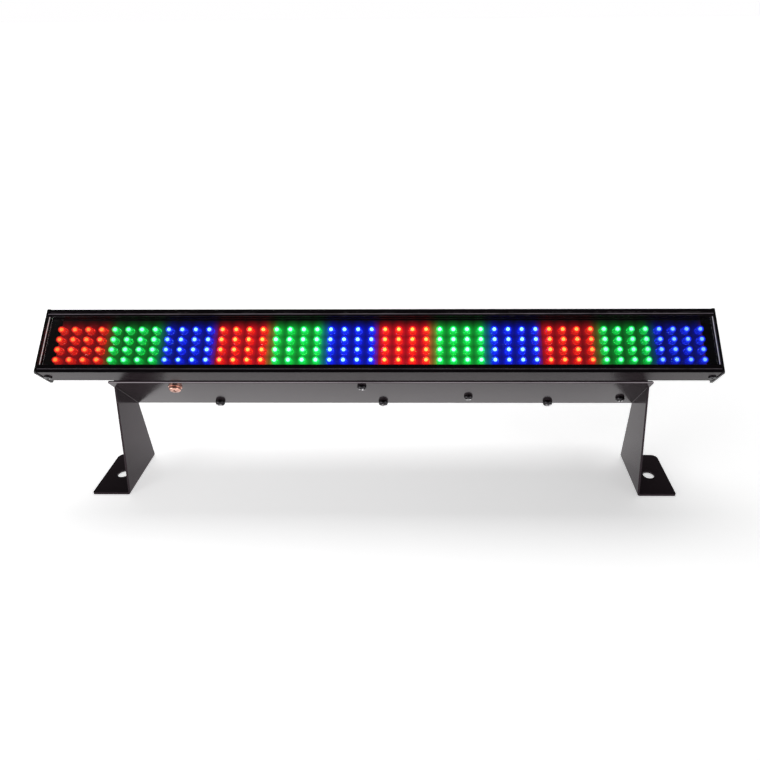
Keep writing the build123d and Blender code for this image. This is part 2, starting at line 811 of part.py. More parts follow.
# ---- rear wall: mains inlet with its fuse drawer --------------------------------------
power_flange = (31.0, 36.0)
power_flange_thickness = 2.6
power_body = (27.6, 29.6)
power_body_depth = 22.0
recess_rise = panel_rise + 3.6
recess_size = (24.4, 16.6)
recess_depth = 16.5
drawer_rise = panel_rise - 10.2
drawer_size = (21.0, 6.4)
drawer_length = 19.0
drawer_gap = 0.3
power_back = facing(cover_rear_depth + power_flange_thickness)
with BuildPart() as power_inlet:
    with BuildSketch(power_back):
        with Locations((power_x, panel_rise)):
            RectangleRounded(*power_flange, 2.5)
    extrude(amount=power_flange_thickness)
    fillet(beyond(power_inlet, Plane(origin=power_back.origin, z_dir=-out_dir)), radius=0.6)
    with BuildSketch(outer_wall):
        with Locations((power_x, panel_rise)):
            Rectangle(*power_body)
    extrude(amount=power_body_depth)
    with BuildSketch(facing(cover_rear_depth + power_flange_thickness + 1)) as recess:
        with Locations((power_x, recess_rise)):
            Rectangle(*recess_size)
        chamfer(recess.vertices().sort_by(Axis(bar.origin, rise_dir))[-2:], length=4.5)
    extrude(amount=recess_depth + 1, mode=Mode.SUBTRACT)
    with BuildSketch(facing(cover_rear_depth + power_flange_thickness + 1)):
        with Locations((power_x, drawer_rise)):
            Rectangle(drawer_size[0] + 2 * drawer_gap, drawer_size[1] + 2 * drawer_gap)
    extrude(amount=drawer_length + 2.3, mode=Mode.SUBTRACT)
save(power_inlet, "power_inlet")
recess_floor = facing(cover_rear_depth + power_flange_thickness - recess_depth)
with BuildPart() as power_pins:
    with BuildSketch(recess_floor):
        with Locations((power_x - 7.0, recess_rise - 2.0), (power_x + 7.0, recess_rise - 2.0)):
            Rectangle(2.0, 4.0)
        with Locations((power_x, recess_rise + 2.0)):
            Rectangle(2.0, 4.0)
    extrude(amount=-13.5)
save(power_pins, "power_inlet_pins")
drawer_back = facing(cover_rear_depth + power_flange_thickness + 0.8)
with BuildPart() as fuse_drawer:
    with BuildSketch(drawer_back):
        with Locations((power_x, drawer_rise)):
            RectangleRounded(*drawer_size, 0.8)
    extrude(amount=drawer_length)
    with BuildSketch(facing(cover_rear_depth + power_flange_thickness - 3.0)):
        with Locations((power_x, drawer_rise + 1.0)):
            Rectangle(drawer_size[0] - 2.0, drawer_size[1] - 2.4)
    extrude(amount=drawer_length - 6.0, mode=Mode.SUBTRACT)
    with BuildSketch(Plane(origin=drawer_back.origin, x_dir=(1, 0, 0), z_dir=-out_dir)):
        with Locations((power_x, -drawer_rise - 1.6)):
            Rectangle(9.0, 1.4)
    extrude(amount=1.2)
save(fuse_drawer, "fuse_drawer")
fuse_depth = cover_rear_depth + power_flange_thickness - 9.0
fuse_plane = across(power_x - 8.5)
with BuildPart() as fuse:
    with BuildSketch(fuse_plane):
        with Locations((drawer_rise + 1.0, -fuse_depth)):
            Circle(1.75)
    extrude(amount=17.0)
save(fuse, "fuse")

# ---- rear wall: display, menu buttons and their board -----------------------------------
filter_gap = 0.15
filter_thickness = 1.5
display_filter = slab(
    facing(cover_rear_depth),
    centre=(display_x, panel_rise),
    size=(display_window[0] - 2 * filter_gap, display_window[1] - 2 * filter_gap),
    thickness=filter_thickness,
)
save(display_filter, "display_filter")
display_size = (30.0, 14.0)
display_height = 7.2
display_rear_depth = cover_rear_depth - filter_thickness - 0.2
display_board_rear_depth = display_rear_depth - display_height
digit_display = slab(
    facing(display_rear_depth),
    centre=(display_x, panel_rise),
    size=display_size,
    thickness=display_height,
)
save(digit_display, "digit_display")

display_board_middle = (-90.0, 25.5)
display_board_size = (110.0, 38.0)
with BuildPart() as display_board:
    with BuildSketch(facing(display_board_rear_depth)):
        with Locations(display_board_middle):
            Rectangle(*display_board_size)
        with Locations(*display_screw_spots):
            Circle(clear_small, mode=Mode.SUBTRACT)
    extrude(amount=board_thickness)
save(display_board, "display_board")
display_spacers = posts(
    facing(cover_rear_inner),
    display_screw_spots,
    radius=2.8,
    height=cover_rear_inner - display_board_rear_depth,
    hole_radius=clear_small,
)
save(display_spacers, "display_spacers")
wall_seat = Plane(origin=outer_wall.origin, x_dir=(1, 0, 0), z_dir=-out_dir)
display_heads = [(x, -rise) for x, rise in display_screw_spots]
display_screws = pan_screws(wall_seat, display_heads, thread=2.9, length=12.0, head=5.4, head_height=1.8)
save(display_screws, "display_screws")
nut_plane = facing(display_board_rear_depth - board_thickness)
with BuildPart() as display_nuts:
    with BuildSketch(nut_plane):
        for x, rise in display_screw_spots:
            with Locations((x, rise)):
                RegularPolygon(radius=3.0, side_count=6)
                Circle(1.5, mode=Mode.SUBTRACT)
    extrude(amount=2.2)
save(display_nuts, "display_nuts")

switch_height = 4.0
switch_size = 6.2
switch_plane = facing(display_board_rear_depth + switch_height)
with BuildPart() as button_switches:
    with BuildSketch(switch_plane):
        with Locations(*[(x, panel_rise) for x in button_x]):
            Rectangle(switch_size, switch_size)
    extrude(amount=switch_height)
save(button_switches, "button_switches")
button_radius = 2.5
button_collar_radius = 3.4
button_collar = 0.9
button_proud = 1.6
button_front_depth = display_board_rear_depth + switch_height + button_travel + 0.3
for number, x in enumerate(button_x, start=1):
    cap_end = facing(cover_rear_depth + button_proud)
    with BuildPart() as button:
        with BuildSketch(cap_end):
            with Locations((x, panel_rise)):
                Circle(button_radius)
        extrude(amount=cover_rear_depth + button_proud - button_front_depth)
        fillet(beyond(button, Plane(origin=cap_end.origin, z_dir=-out_dir)), radius=0.7)
        with BuildSketch(facing(button_front_depth + button_collar)):
            with Locations((x, panel_rise)):
                Circle(button_collar_radius)
        extrude(amount=button_collar)
    save(button, f"menu_button_{number}")

# ---- wiring inside ------------------------------------------------------------------------
ribbon_half_width = 8.0
ribbon_thickness = 1.0
header_top = circuit_top + 6.0
led_socket_rear_depth = 18.3
led_socket = slab(
    facing(led_socket_rear_depth),
    centre=(loom_slot_x, loom_slot_rise),
    size=(20.0, 5.0),
    thickness=led_socket_rear_depth - led_board_back_depth,
)
save(led_socket, "led_board_socket")
with BuildPart() as ribbon_cable:
    with BuildSketch(across(loom_slot_x - ribbon_half_width)):
        with BuildLine():
            FilletPolyline(
                (loom_slot_rise, -18.9),
                (loom_slot_rise, -30.0),
                (header_top + 0.6, -30.0),
                radius=4.0,
            )
            offset(amount=ribbon_thickness / 2, side=Side.BOTH, closed=True)
        make_face()
    extrude(amount=2 * ribbon_half_width)
save(ribbon_cable, "ribbon_cable")

wire_diameter = 1.8
tag_end = spot(earth_x + 14.2, web_high + 2.0, earth_depth)
earth_points = [
    tag_end,
    spot(earth_x + 24.0, web_high + 2.2, earth_depth),
    spot(earth_x + 34.0, web_high + 12.0, earth_depth + 6.0),
    spot(-60.0, 44.2, 42.0),
    spot(60.0, 44.6, 42.0),
    spot(134.0, 44.2, 41.0),
    spot(150.0, 36.0, 40.0),
    spot(150.0, 29.0, 43.0),
    spot(150.0, 29.0, 49.4),
]
earth_lead = lead(earth_points, 2.4, wire_diameter)
save(earth_lead, "earth_lead")
live_points = [
    spot(160.0, 20.0, 49.3),
    spot(160.0, 20.0, 44.0),
    spot(166.0, 16.0, 40.5),
    spot(166.0, 10.4, 37.0),
]
neutral_points = [
    spot(141.0, 20.0, 49.3),
    spot(141.0, 20.0, 47.0),
    spot(143.0, 17.0, 44.5),
    spot(143.0, 10.4, 44.0),
]
with BuildPart() as mains_leads:
    add(lead(live_points, 2.5, wire_diameter).part)
    add(lead(neutral_points, 1.6, wire_diameter).part)
save(mains_leads, "mains_leads")


def data_route(x):
    """From the back of a data connector down to the control board."""
    return [
        spot(x - 4.0, panel_rise, 51.3),
        spot(x - 4.0, panel_rise, 44.0),
        spot(x - 8.0, panel_rise - 6.0, 38.0),
        spot(x - 8.0, circuit_top + 0.1, 38.0),
    ]


with BuildPart() as data_leads:
    for x in (data_in_x, data_out_x):
        add(lead(data_route(x), 3.0, 3.4).part)
save(data_leads, "data_leads")
supply_points = [
    spot(96.5, circuit_top + 1.2, 33.0),
    spot(90.0, circuit_top + 4.0, 33.0),
    spot(80.0, circuit_top + 4.0, 33.0),
    spot(74.5, circuit_top + 1.2, 33.0),
]
save(lead(supply_points, 3.0, 2.2), "supply_lead")
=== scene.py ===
import json
import math
import bpy
from mathutils import Matrix, Vector


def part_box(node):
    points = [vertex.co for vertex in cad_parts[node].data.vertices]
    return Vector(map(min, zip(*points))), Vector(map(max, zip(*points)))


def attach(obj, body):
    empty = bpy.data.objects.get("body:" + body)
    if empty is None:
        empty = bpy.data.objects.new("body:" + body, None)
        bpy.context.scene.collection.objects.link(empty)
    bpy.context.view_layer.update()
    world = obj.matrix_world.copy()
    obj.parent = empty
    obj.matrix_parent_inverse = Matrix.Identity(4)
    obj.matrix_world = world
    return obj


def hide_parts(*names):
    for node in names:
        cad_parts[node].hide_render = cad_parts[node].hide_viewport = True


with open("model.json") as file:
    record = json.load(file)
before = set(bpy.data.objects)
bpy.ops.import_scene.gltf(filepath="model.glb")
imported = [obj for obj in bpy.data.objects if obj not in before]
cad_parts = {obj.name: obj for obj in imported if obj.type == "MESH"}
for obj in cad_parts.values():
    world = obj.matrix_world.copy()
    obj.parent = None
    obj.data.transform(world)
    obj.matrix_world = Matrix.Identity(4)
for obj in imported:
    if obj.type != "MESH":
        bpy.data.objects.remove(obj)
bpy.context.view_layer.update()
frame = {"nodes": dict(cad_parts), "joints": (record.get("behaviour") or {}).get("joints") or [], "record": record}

# LED strip batten. The bar has its own directions: X along it, "rise" up the light
# face and "depth" behind it. Sizes in this script are millimetres until placed.
MM = 0.001
NODES = frame["nodes"]

# ---- the bar's directions, from the frame -------------------------------------
press = next(j for j in frame["joints"] if j["name"] == "button_1_press")
OUT = Vector(press["axis"]).normalized()
RISE = Vector((0, OUT.z, -OUT.y))
WINDOW_LOW_RISE = 3.75
WINDOW_FRONT_DEPTH = 1.6
WINDOW_THICKNESS = 2.0
WINDOW_REAR_DEPTH = WINDOW_FRONT_DEPTH + WINDOW_THICKNESS
window_low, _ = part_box("clear_window")
NOSE = Vector((
    0,
    window_low.y - (WINDOW_LOW_RISE * RISE.y - WINDOW_FRONT_DEPTH * OUT.y) * MM,
    window_low.z - (WINDOW_LOW_RISE * RISE.z - WINDOW_REAR_DEPTH * OUT.z) * MM,
))
BAR = Matrix((
    (1, RISE.x, OUT.x, NOSE.x),
    (0, RISE.y, OUT.y, NOSE.y),
    (0, RISE.z, OUT.z, NOSE.z),
    (0, 0, 0, 1),
))


# ---- LED array ------------------------------------------------------------------
COLUMNS, ROWS = 48, 4
COLUMN_PITCH, ROW_PITCH = 10.0, 8.0
MIDDLE_RISE = 24.5
BOARD_DEPTH = 10.5
LENS_RADIUS = 2.5
LED_HEIGHT = 6.6
BLOCK = 4
COLOURS = ("red", "green", "blue")


def led_spots(colour):
    """(X, rise) of every LED of one colour."""
    spots = []
    for column in range(COLUMNS):
        if COLOURS[(column // BLOCK) % 3] == colour:
            for row in range(ROWS):
                x = (column - (COLUMNS - 1) / 2) * COLUMN_PITCH
                spots.append((x, MIDDLE_RISE + (row - (ROWS - 1) / 2) * ROW_PITCH))
    return spots


# ---- node material helpers ---------------------------------------------------------
class Shader:
    """A node material being built. Values may be numbers, colours or other sockets."""

    def __init__(self, name):
        self.material = bpy.data.materials.new(name)
        self.material.use_nodes = True
        self.tree = self.material.node_tree
        self.tree.nodes.clear()
        self.output = self.tree.nodes.new("ShaderNodeOutputMaterial")

    def feed(self, socket, value):
        if isinstance(value, bpy.types.NodeSocket):
            self.tree.links.new(value, socket)
        elif isinstance(value, (tuple, list)) and socket.type == "RGBA" and len(value) == 3:
            socket.default_value = (*value, 1.0)
        else:
            socket.default_value = value

    def node(self, kind, settings=None, **inputs):
        made = self.tree.nodes.new(kind)
        for key, value in (settings or {}).items():
            setattr(made, key, value)
        for key, value in inputs.items():
            self.feed(made.inputs[key.replace("_", " ")], value)
        return made

    def math(self, operation, a, b=0.0, c=0.0, clamp=False):
        made = self.tree.nodes.new("ShaderNodeMath")
        made.operation = operation
        made.use_clamp = clamp
        for index, value in enumerate((a, b, c)):
            self.feed(made.inputs[index], value)
        return made.outputs[0]

    def vector(self, operation, a, b=(0, 0, 0)):
        made = self.tree.nodes.new("ShaderNodeVectorMath")
        made.operation = operation
        self.feed(made.inputs[0], a)
        self.feed(made.inputs[1], b)
        return made.outputs["Value"] if operation in ("DOT_PRODUCT", "LENGTH") else made.outputs[0]

    def mix(self, factor, a, b, kind="RGBA"):
        made = self.tree.nodes.new("ShaderNodeMix")
        made.data_type = kind
        offset = {"RGBA": 6, "FLOAT": 2}[kind]
        self.feed(made.inputs[0], factor)
        self.feed(made.inputs[offset], a)
        self.feed(made.inputs[offset + 1], b)
        return made.outputs[{"RGBA": 2, "FLOAT": 0}[kind]]

    def ramp(self, value, low, high, to_low=0.0, to_high=1.0, smooth=True):
        made = self.tree.nodes.new("ShaderNodeMapRange")
        made.interpolation_type = "SMOOTHSTEP" if smooth else "LINEAR"
        items = (value, low, high, to_low, to_high)
        for key, item in zip(("Value", "From Min", "From Max", "To Min", "To Max"), items):
            self.feed(made.inputs[key], item)
        return made.outputs[0]

    def noise(self, vector, scale, detail=3.0, roughness=0.55):
        return self.node(
            "ShaderNodeTexNoise", Vector=vector, Scale=scale, Detail=detail, Roughness=roughness,
        ).outputs[0]

    def coordinates(self):
        return self.node("ShaderNodeTexCoord").outputs["Object"]

    def bar_coordinates(self):
        """(X, rise, depth outwards) in metres as one vector, whatever way the bar is tilted."""
        point = self.vector("SUBTRACT", self.coordinates(), tuple(NOSE))
        x = self.vector("DOT_PRODUCT", point, (1, 0, 0))
        rise = self.vector("DOT_PRODUCT", point, tuple(RISE))
        out = self.vector("DOT_PRODUCT", point, tuple(OUT))
        joined = self.tree.nodes.new("ShaderNodeCombineXYZ")
        for index, value in enumerate((x, rise, out)):
            self.feed(joined.inputs[index], value)
        return joined.outputs[0], x, rise, out

    def rounded(self, radius):
        return self.node("ShaderNodeBevel", {"samples": 4}, Radius=radius).outputs[0]

    def bump(self, height, strength, distance, normal=None):
        made = self.node("ShaderNodeBump", Height=height, Strength=strength, Distance=distance)
        if normal is not None:
            self.feed(made.inputs["Normal"], normal)
        return made.outputs[0]

    def finish(self, surface):
        self.tree.links.new(surface, self.output.inputs["Surface"])
        return self.material

    def principled(self, **inputs):
        return self.node("ShaderNodeBsdfPrincipled", **inputs).outputs[0]


def edge_mask(shader, normal):
    """1 on hard edges, 0 on flats, from how far the rounded normal leans."""
    true_normal = shader.node("ShaderNodeNewGeometry").outputs["True Normal"]
    lean = shader.vector("DOT_PRODUCT", true_normal, normal)
    return shader.ramp(lean, 0.995, 0.85, 0.0, 1.0)


# ---- materials ------------------------------------------------------------------------
GLOSS_TINT = (1.0, 0.80, 0.90)
BEND_LOW_RISE, BEND_HIGH_RISE = 0.9, 1.2
BEND_FRONT_DEPTH, BEND_REAR_DEPTH = 22.6, 23.0
# Painted highlight lines on the lips: their rise, and where they fade out.
LIP_HIGHLIGHT_RISES = (3.2, 46.2)
LIP_HIGHLIGHT_INNER, LIP_HIGHLIGHT_OUTER = 0.25, 0.5
FACE_FADE_FRONT, FACE_FADE_REAR = 0.9, 1.2
# Painted light on the faces behind the front face begins at this depth.
PAINTED_SIDE_LIGHT_DEPTH = 2.2


def powder_coat(name, tint, rough):
    """Satin powder coat on sheet steel: fine orange peel, rubbed edges, and a painted highlight along the front
    bend.
    """
    s = Shader(name)
    p = s.coordinates()
    normal = s.rounded(0.00035)
    peel = s.noise(p, 900.0, 2.0)
    grain = s.noise(p, 5200.0, 1.0)
    cloud = s.noise(p, 14.0, 4.0)
    smear = s.noise(s.vector("MULTIPLY", p, (9.0, 60.0, 60.0)), 1.0, 4.0, 0.6)
    height = s.math("MULTIPLY_ADD", grain, 0.35, peel)
    colour = s.mix(cloud, [c * 0.8 for c in tint], [c * 1.35 for c in tint])
    worn = s.math("MULTIPLY", edge_mask(s, normal), s.ramp(s.noise(p, 260.0, 3.0), 0.5, 0.68))
    colour = s.mix(s.math("MULTIPLY", worn, 0.5), colour, (0.16, 0.155, 0.16))
    _, _, rise, out = s.bar_coordinates()
    # Painted highlight: a patchy light strip painted along the front bend of the web.
    low = s.ramp(rise, BEND_HIGH_RISE * MM, BEND_LOW_RISE * MM)
    front = s.ramp(out, -BEND_REAR_DEPTH * MM, -BEND_FRONT_DEPTH * MM)
    painted_bend_highlight = s.math("MULTIPLY", s.math("MULTIPLY", low, front), s.ramp(cloud, 0.2, 0.5, 0.6, 1.0))
    colour = s.mix(painted_bend_highlight, colour, (0.30, 0.27, 0.29))
    roughness = s.math("MULTIPLY_ADD", smear, 0.06, rough - 0.03)
    roughness = s.math("MULTIPLY_ADD", grain, 0.05, roughness)
    return s.finish(s.principled(
        Base_Color=colour, Roughness=roughness, Specular_Tint=GLOSS_TINT, Specular_IOR_Level=0.26,
        Normal=s.bump(height, 0.08, 0.00012, normal),
    ))


def anodised(name):
    """Black anodised extrusion with die lines along its length, a painted highlight line on each lip, and painted
    light that makes the faces behind the front face lighter.
    """
    s = Shader(name)
    point, _, rise, out = s.bar_coordinates()
    normal = s.rounded(0.0003)
    lines = s.noise(s.vector("MULTIPLY", point, (3.0, 2600.0, 2600.0)), 1.0, 3.0, 0.6)
    broad = s.noise(s.vector("MULTIPLY", point, (5.0, 420.0, 420.0)), 1.0, 2.0, 0.5)
    cloud = s.noise(point, 30.0, 4.0)
    colour = s.mix(broad, (0.0018, 0.0014, 0.0018), (0.0050, 0.0040, 0.0048))
    rubbed = s.math("MULTIPLY", edge_mask(s, normal), s.ramp(s.noise(point, 180.0, 3.0), 0.47, 0.7))
    colour = s.mix(s.math("MULTIPLY", rubbed, 0.45), colour, (0.20, 0.19, 0.20))
    on_face = s.ramp(out, -FACE_FADE_REAR * MM, -FACE_FADE_FRONT * MM)
    patchy = s.math("MULTIPLY", on_face, s.ramp(cloud, 0.3, 0.6, 0.5, 1.0))
    # Painted highlight: a thin, patchy light line along each lip, on the front face only.
    for line in LIP_HIGHLIGHT_RISES:
        off_line = s.math("ABSOLUTE", s.math("SUBTRACT", rise, line * MM))
        near_line = s.ramp(off_line, LIP_HIGHLIGHT_OUTER * MM, LIP_HIGHLIGHT_INNER * MM)
        painted_lip_highlight = s.math("MULTIPLY", near_line, patchy)
        colour = s.mix(painted_lip_highlight, colour, (0.15, 0.13, 0.15))
    # Painted light: the faces behind the front face are painted a lighter purple-grey than the front face.
    painted_side_light = s.ramp(out, -FACE_FADE_REAR * MM, -PAINTED_SIDE_LIGHT_DEPTH * MM)
    colour = s.mix(painted_side_light, colour, (0.0105, 0.0062, 0.0082))
    roughness = s.math("MULTIPLY_ADD", lines, 0.14, 0.12)
    roughness = s.math("MULTIPLY_ADD", cloud, 0.06, roughness)
    return s.finish(s.principled(
        Base_Color=colour, Roughness=roughness, Specular_Tint=GLOSS_TINT, Specular_IOR_Level=0.11,
        Normal=s.bump(lines, 0.12, 0.00008, normal),
    ))


def moulded(name, tint, rough, grain=0.08, edge=0.0003):
    """Moulded plastic: a fine spark-eroded grain with a soft sheen on rounded edges."""
    s = Shader(name)
    p = s.coordinates()
    normal = s.rounded(edge)
    spark = s.noise(p, 3800.0, 2.0, 0.7)
    cloud = s.noise(p, 45.0, 3.0)
    colour = s.mix(cloud, [c * 0.85 for c in tint], [min(1.0, c * 1.18) for c in tint])
    roughness = s.math("MULTIPLY_ADD", spark, 0.10, rough - 0.05)
    roughness = s.math("MULTIPLY_ADD", cloud, 0.06, roughness)
    return s.finish(s.principled(
        Base_Color=colour, Roughness=roughness, IOR=1.48,
        Normal=s.bump(spark, grain, 0.00006, normal),
    ))


def metal(name, tint, rough, edge_tint=None, scratch=0.08):
    """Plated or bare metal with fine scratches, a little tarnish and brighter edges."""
    s = Shader(name)
    p = s.coordinates()
    normal = s.rounded(0.0002)
    scratches = s.noise(s.vector("MULTIPLY", p, (900.0, 4200.0, 700.0)), 1.0, 4.0, 0.7)
    tarnish = s.noise(p, 320.0, 4.0, 0.6)
    colour = s.mix(s.ramp(tarnish, 0.35, 0.75), tint, [c * 0.62 for c in tint])
    if edge_tint:
        rub = s.math("MULTIPLY", edge_mask(s, normal), s.ramp(s.noise(p, 800.0, 2.0), 0.4, 0.6))
        colour = s.mix(s.math("MULTIPLY", rub, 0.7), colour, edge_tint)
    roughness = s.math("MULTIPLY_ADD", scratches, 0.22, rough - 0.08)
    roughness = s.math("MULTIPLY_ADD", tarnish, 0.12, roughness)
    return s.finish(s.principled(
        Base_Color=colour, Roughness=roughness, Metallic=1.0,
        Normal=s.bump(scratches, scratch, 0.00005, normal),
    ))


def board(name, mask, trace, lit=False):
    """Solder mask over copper traces; the LED board also glows with painted light from its LEDs."""
    s = Shader(name)
    point, x, rise, _ = s.bar_coordinates()
    cells = s.node(
        "ShaderNodeTexBrick", {"offset": 0.37, "squash": 1.0}, Vector=point, Scale=1.0,
        Mortar_Size=0.00018, Mortar_Smooth=0.1, Brick_Width=0.0135, Row_Height=0.0042,
    ).outputs["Fac"]
    weave = s.noise(point, 2400.0, 2.0)
    colour = s.mix(cells, mask, trace)
    colour = s.mix(s.math("MULTIPLY", weave, 0.3), colour, [c * 0.6 for c in mask])
    height = s.math("MULTIPLY_ADD", weave, 0.2, cells)
    inputs = {
        "Base_Color": colour,
        "Roughness": s.math("MULTIPLY_ADD", weave, 0.2, 0.22),
        "Normal": s.bump(height, 0.3, 0.00006),
    }
    if lit:
        # Painted light: the LEDs' spill on the board is painted on as emission.
        inputs["Emission_Color"], inputs["Emission_Strength"] = led_glow(s, x, rise)
    return s.finish(s.principled(**inputs))


BOARD_GLOW = 0.80
HALO_NEAR, HALO_FAR, HALO_FALL = 2.2, 12.0, 2.2
COLOUR_OVERLAP = 0.14
# Painted dimming of the LEDs towards the bar's ends: where it starts and stops, and the share each part keeps at
# the ends.
NEAR_END, NEAR_MIDDLE = 0.21, 0.04
BOARD_SHARE, LENS_SHARE, CORE_SHARE = 0.36, 0.75, 0.38
GLOW = {"red": (1.0, 0.008, 0.025), "green": (0.008, 0.62, 0.06), "blue": (0.004, 0.010, 0.80)}


def painted_end_dimming(s, x, end, middle, least):
    """Painted dimming: the LEDs' light is painted weaker towards the bar's ends, falling to the least share there.
    """
    return s.ramp(s.math("ABSOLUTE", x), end, middle, least, 1.0)


def led_glow(s, x, rise):
    """Colour and strength of the painted light: the glow that the LEDs throw on the board round them, painted on
    as emission.
    """
    column = s.math("MULTIPLY", x, 1.0 / (COLUMN_PITCH * MM))
    across = s.math("SUBTRACT", s.math("FRACT", s.math("ADD", column, COLUMNS)), 0.5)
    first_row = MIDDLE_RISE - (ROWS - 1) / 2 * ROW_PITCH
    row = s.math("MULTIPLY", s.math("SUBTRACT", rise, first_row * MM), 1.0 / (ROW_PITCH * MM))
    near_row = s.math("MINIMUM", s.math("MAXIMUM", s.math("ROUND", row), 0.0), ROWS - 1.0)
    up = s.math("SUBTRACT", row, near_row)
    dx = s.math("MULTIPLY", across, COLUMN_PITCH)
    dy = s.math("MULTIPLY", up, ROW_PITCH)
    distance = s.math("SQRT", s.math("ADD", s.math("MULTIPLY", dx, dx), s.math("MULTIPLY", dy, dy)))
    halo = s.math("POWER", s.ramp(distance, HALO_FAR, HALO_NEAR, smooth=False), HALO_FALL)
    block = s.math("MULTIPLY", s.math("ADD", column, COLUMNS / 2), 1.0 / BLOCK)
    phase = s.math("FLOORED_MODULO", block, 3.0)
    soft = COLOUR_OVERLAP
    to_green = s.ramp(phase, 1.0 - soft, 1.0 + soft)
    to_blue = s.ramp(phase, 2.0 - soft, 2.0 + soft)
    to_red = s.math(
        "ADD", s.ramp(phase, 3.0 - soft, 3.0 + soft), s.ramp(phase, soft, -soft), clamp=True,
    )
    colour = s.mix(to_green, GLOW["red"], GLOW["green"])
    colour = s.mix(to_blue, colour, GLOW["blue"])
    colour = s.mix(to_red, colour, GLOW["red"])
    # Painted dimming: the board's glow is weaker towards the bar's ends.
    share = painted_end_dimming(s, x, NEAR_END, NEAR_MIDDLE, BOARD_SHARE)
    return colour, s.math("MULTIPLY", s.math("MULTIPLY", halo, BOARD_GLOW), share)


# Painted highlight on the sawn ends: where its glowing strip fades, measured in from the window's front.
END_HIGHLIGHT_SPAN = (0.9, 0.6)


def acrylic(name):
    """Clear polished acrylic: sees through, mirrors at its Fresnel share; the outer strip of its sawn ends is a
    painted highlight that glows white.
    """
    s = Shader(name)
    point, _, _, out = s.bar_coordinates()
    fresnel = s.node("ShaderNodeFresnel", IOR=1.49).outputs[0]
    dust = s.ramp(s.noise(point, 900.0, 4.0, 0.75), 0.62, 0.8)
    clear = s.node("ShaderNodeBsdfTransparent", Color=(0.96, 0.97, 0.97)).outputs[0]
    haze = s.math("MULTIPLY_ADD", dust, 0.15, 0.04)
    gloss = s.node("ShaderNodeBsdfGlossy", Color=(1, 1, 1), Roughness=haze).outputs[0]
    sheet = s.node("ShaderNodeMixShader", Fac=s.math("MULTIPLY", fresnel, 0.7))
    s.tree.links.new(clear, sheet.inputs[1])
    s.tree.links.new(gloss, sheet.inputs[2])
    true_normal = s.node("ShaderNodeNewGeometry").outputs["True Normal"]
    facing_x = s.math("ABSOLUTE", s.vector("DOT_PRODUCT", true_normal, (1, 0, 0)))
    # Painted highlight: the outer strip of each sawn end is painted light and glows white.
    highlight_rear, highlight_front = (WINDOW_FRONT_DEPTH + inside for inside in END_HIGHLIGHT_SPAN)
    painted_end_highlight = s.ramp(out, -highlight_rear * MM, -highlight_front * MM)
    sawn = s.principled(
        Base_Color=s.mix(painted_end_highlight, (0.02, 0.018, 0.02), (0.85, 0.86, 0.88)),
        Roughness=s.math("MULTIPLY_ADD", s.noise(point, 3000.0), 0.3, 0.3),
        Emission_Color=(0.9, 0.84, 0.84), Emission_Strength=s.math("MULTIPLY", painted_end_highlight, 0.45),
    )
    both = s.node("ShaderNodeMixShader", Fac=s.math("GREATER_THAN", facing_x, 0.7))
    s.tree.links.new(sheet.outputs[0], both.inputs[1])
    s.tree.links.new(sawn, both.inputs[2])
    return s.finish(both.outputs[0])


LENS = {"red": (0.95, 0.06, 0.04), "green": (0.06, 0.90, 0.24), "blue": (0.04, 0.10, 0.92)}
LENS_GLOW = {"red": (0.95, 0.03, 0.02), "green": (0.01, 0.75, 0.12), "blue": (0.01, 0.035, 0.95)}
CORE = {"red": (1.0, 0.62, 0.10), "green": (0.62, 1.0, 0.66), "blue": (0.52, 0.90, 1.0)}


def led_lens(name, colour):
    """Clear epoxy that carries its LED's colour, brighter towards the dome, and painted brighter towards the bar's
    middle.
    """
    s = Shader(name)
    point, x, _, out = s.bar_coordinates()
    flow = s.noise(point, 700.0, 3.0)
    up = s.ramp(out, -BOARD_DEPTH * MM, (LED_HEIGHT - BOARD_DEPTH) * MM, 0.0, 1.0, smooth=False)
    strength = s.math("MULTIPLY_ADD", s.math("POWER", up, 1.6), 0.95, 0.16)
    # Painted dimming: the lens glow is weaker towards the bar's ends.
    share = painted_end_dimming(s, x, NEAR_END, NEAR_MIDDLE, LENS_SHARE)
    strength = s.math("MULTIPLY", strength, share)
    strength = s.math("MULTIPLY", strength, s.math("MULTIPLY_ADD", flow, 0.5, 0.75))
    return s.finish(s.principled(
        Base_Color=s.mix(flow, LENS[colour], [min(1.0, c * 1.15 + 0.02) for c in LENS[colour]]),
        Roughness=s.math("MULTIPLY_ADD", flow, 0.06, 0.02), IOR=1.5, Transmission_Weight=0.92,
        Emission_Color=LENS_GLOW[colour], Emission_Strength=strength,
    ))


HEAT = (3.5, 4.9)
# Painted dimming of the chips towards the bar's ends.
CORE_DIM_END, CORE_DIM_MIDDLE = 0.24, 0.06


def led_core(name, colour):
    """The lit chip: white hot at its front, coloured behind."""
    s = Shader(name)
    point, x, _, out = s.bar_coordinates()
    grain = s.noise(point, 2500.0, 2.0)
    cool_height, hot_height = HEAT
    heat = s.ramp(out, (cool_height - BOARD_DEPTH) * MM, (hot_height - BOARD_DEPTH) * MM)
    tone = s.mix(heat, LENS_GLOW[colour], CORE[colour])
    strength = s.math("MULTIPLY_ADD", heat, 5.0, 1.2)
    # Painted dimming: the chip's glow is weaker towards the bar's ends.
    share = painted_end_dimming(s, x, CORE_DIM_END, CORE_DIM_MIDDLE, CORE_SHARE)
    strength = s.math("MULTIPLY", strength, share)
    strength = s.math("MULTIPLY", strength, s.math("MULTIPLY_ADD", grain, 0.3, 0.85))
    return s.finish(s.principled(
        Base_Color=tone, Roughness=0.4, Emission_Color=tone, Emission_Strength=strength,
    ))


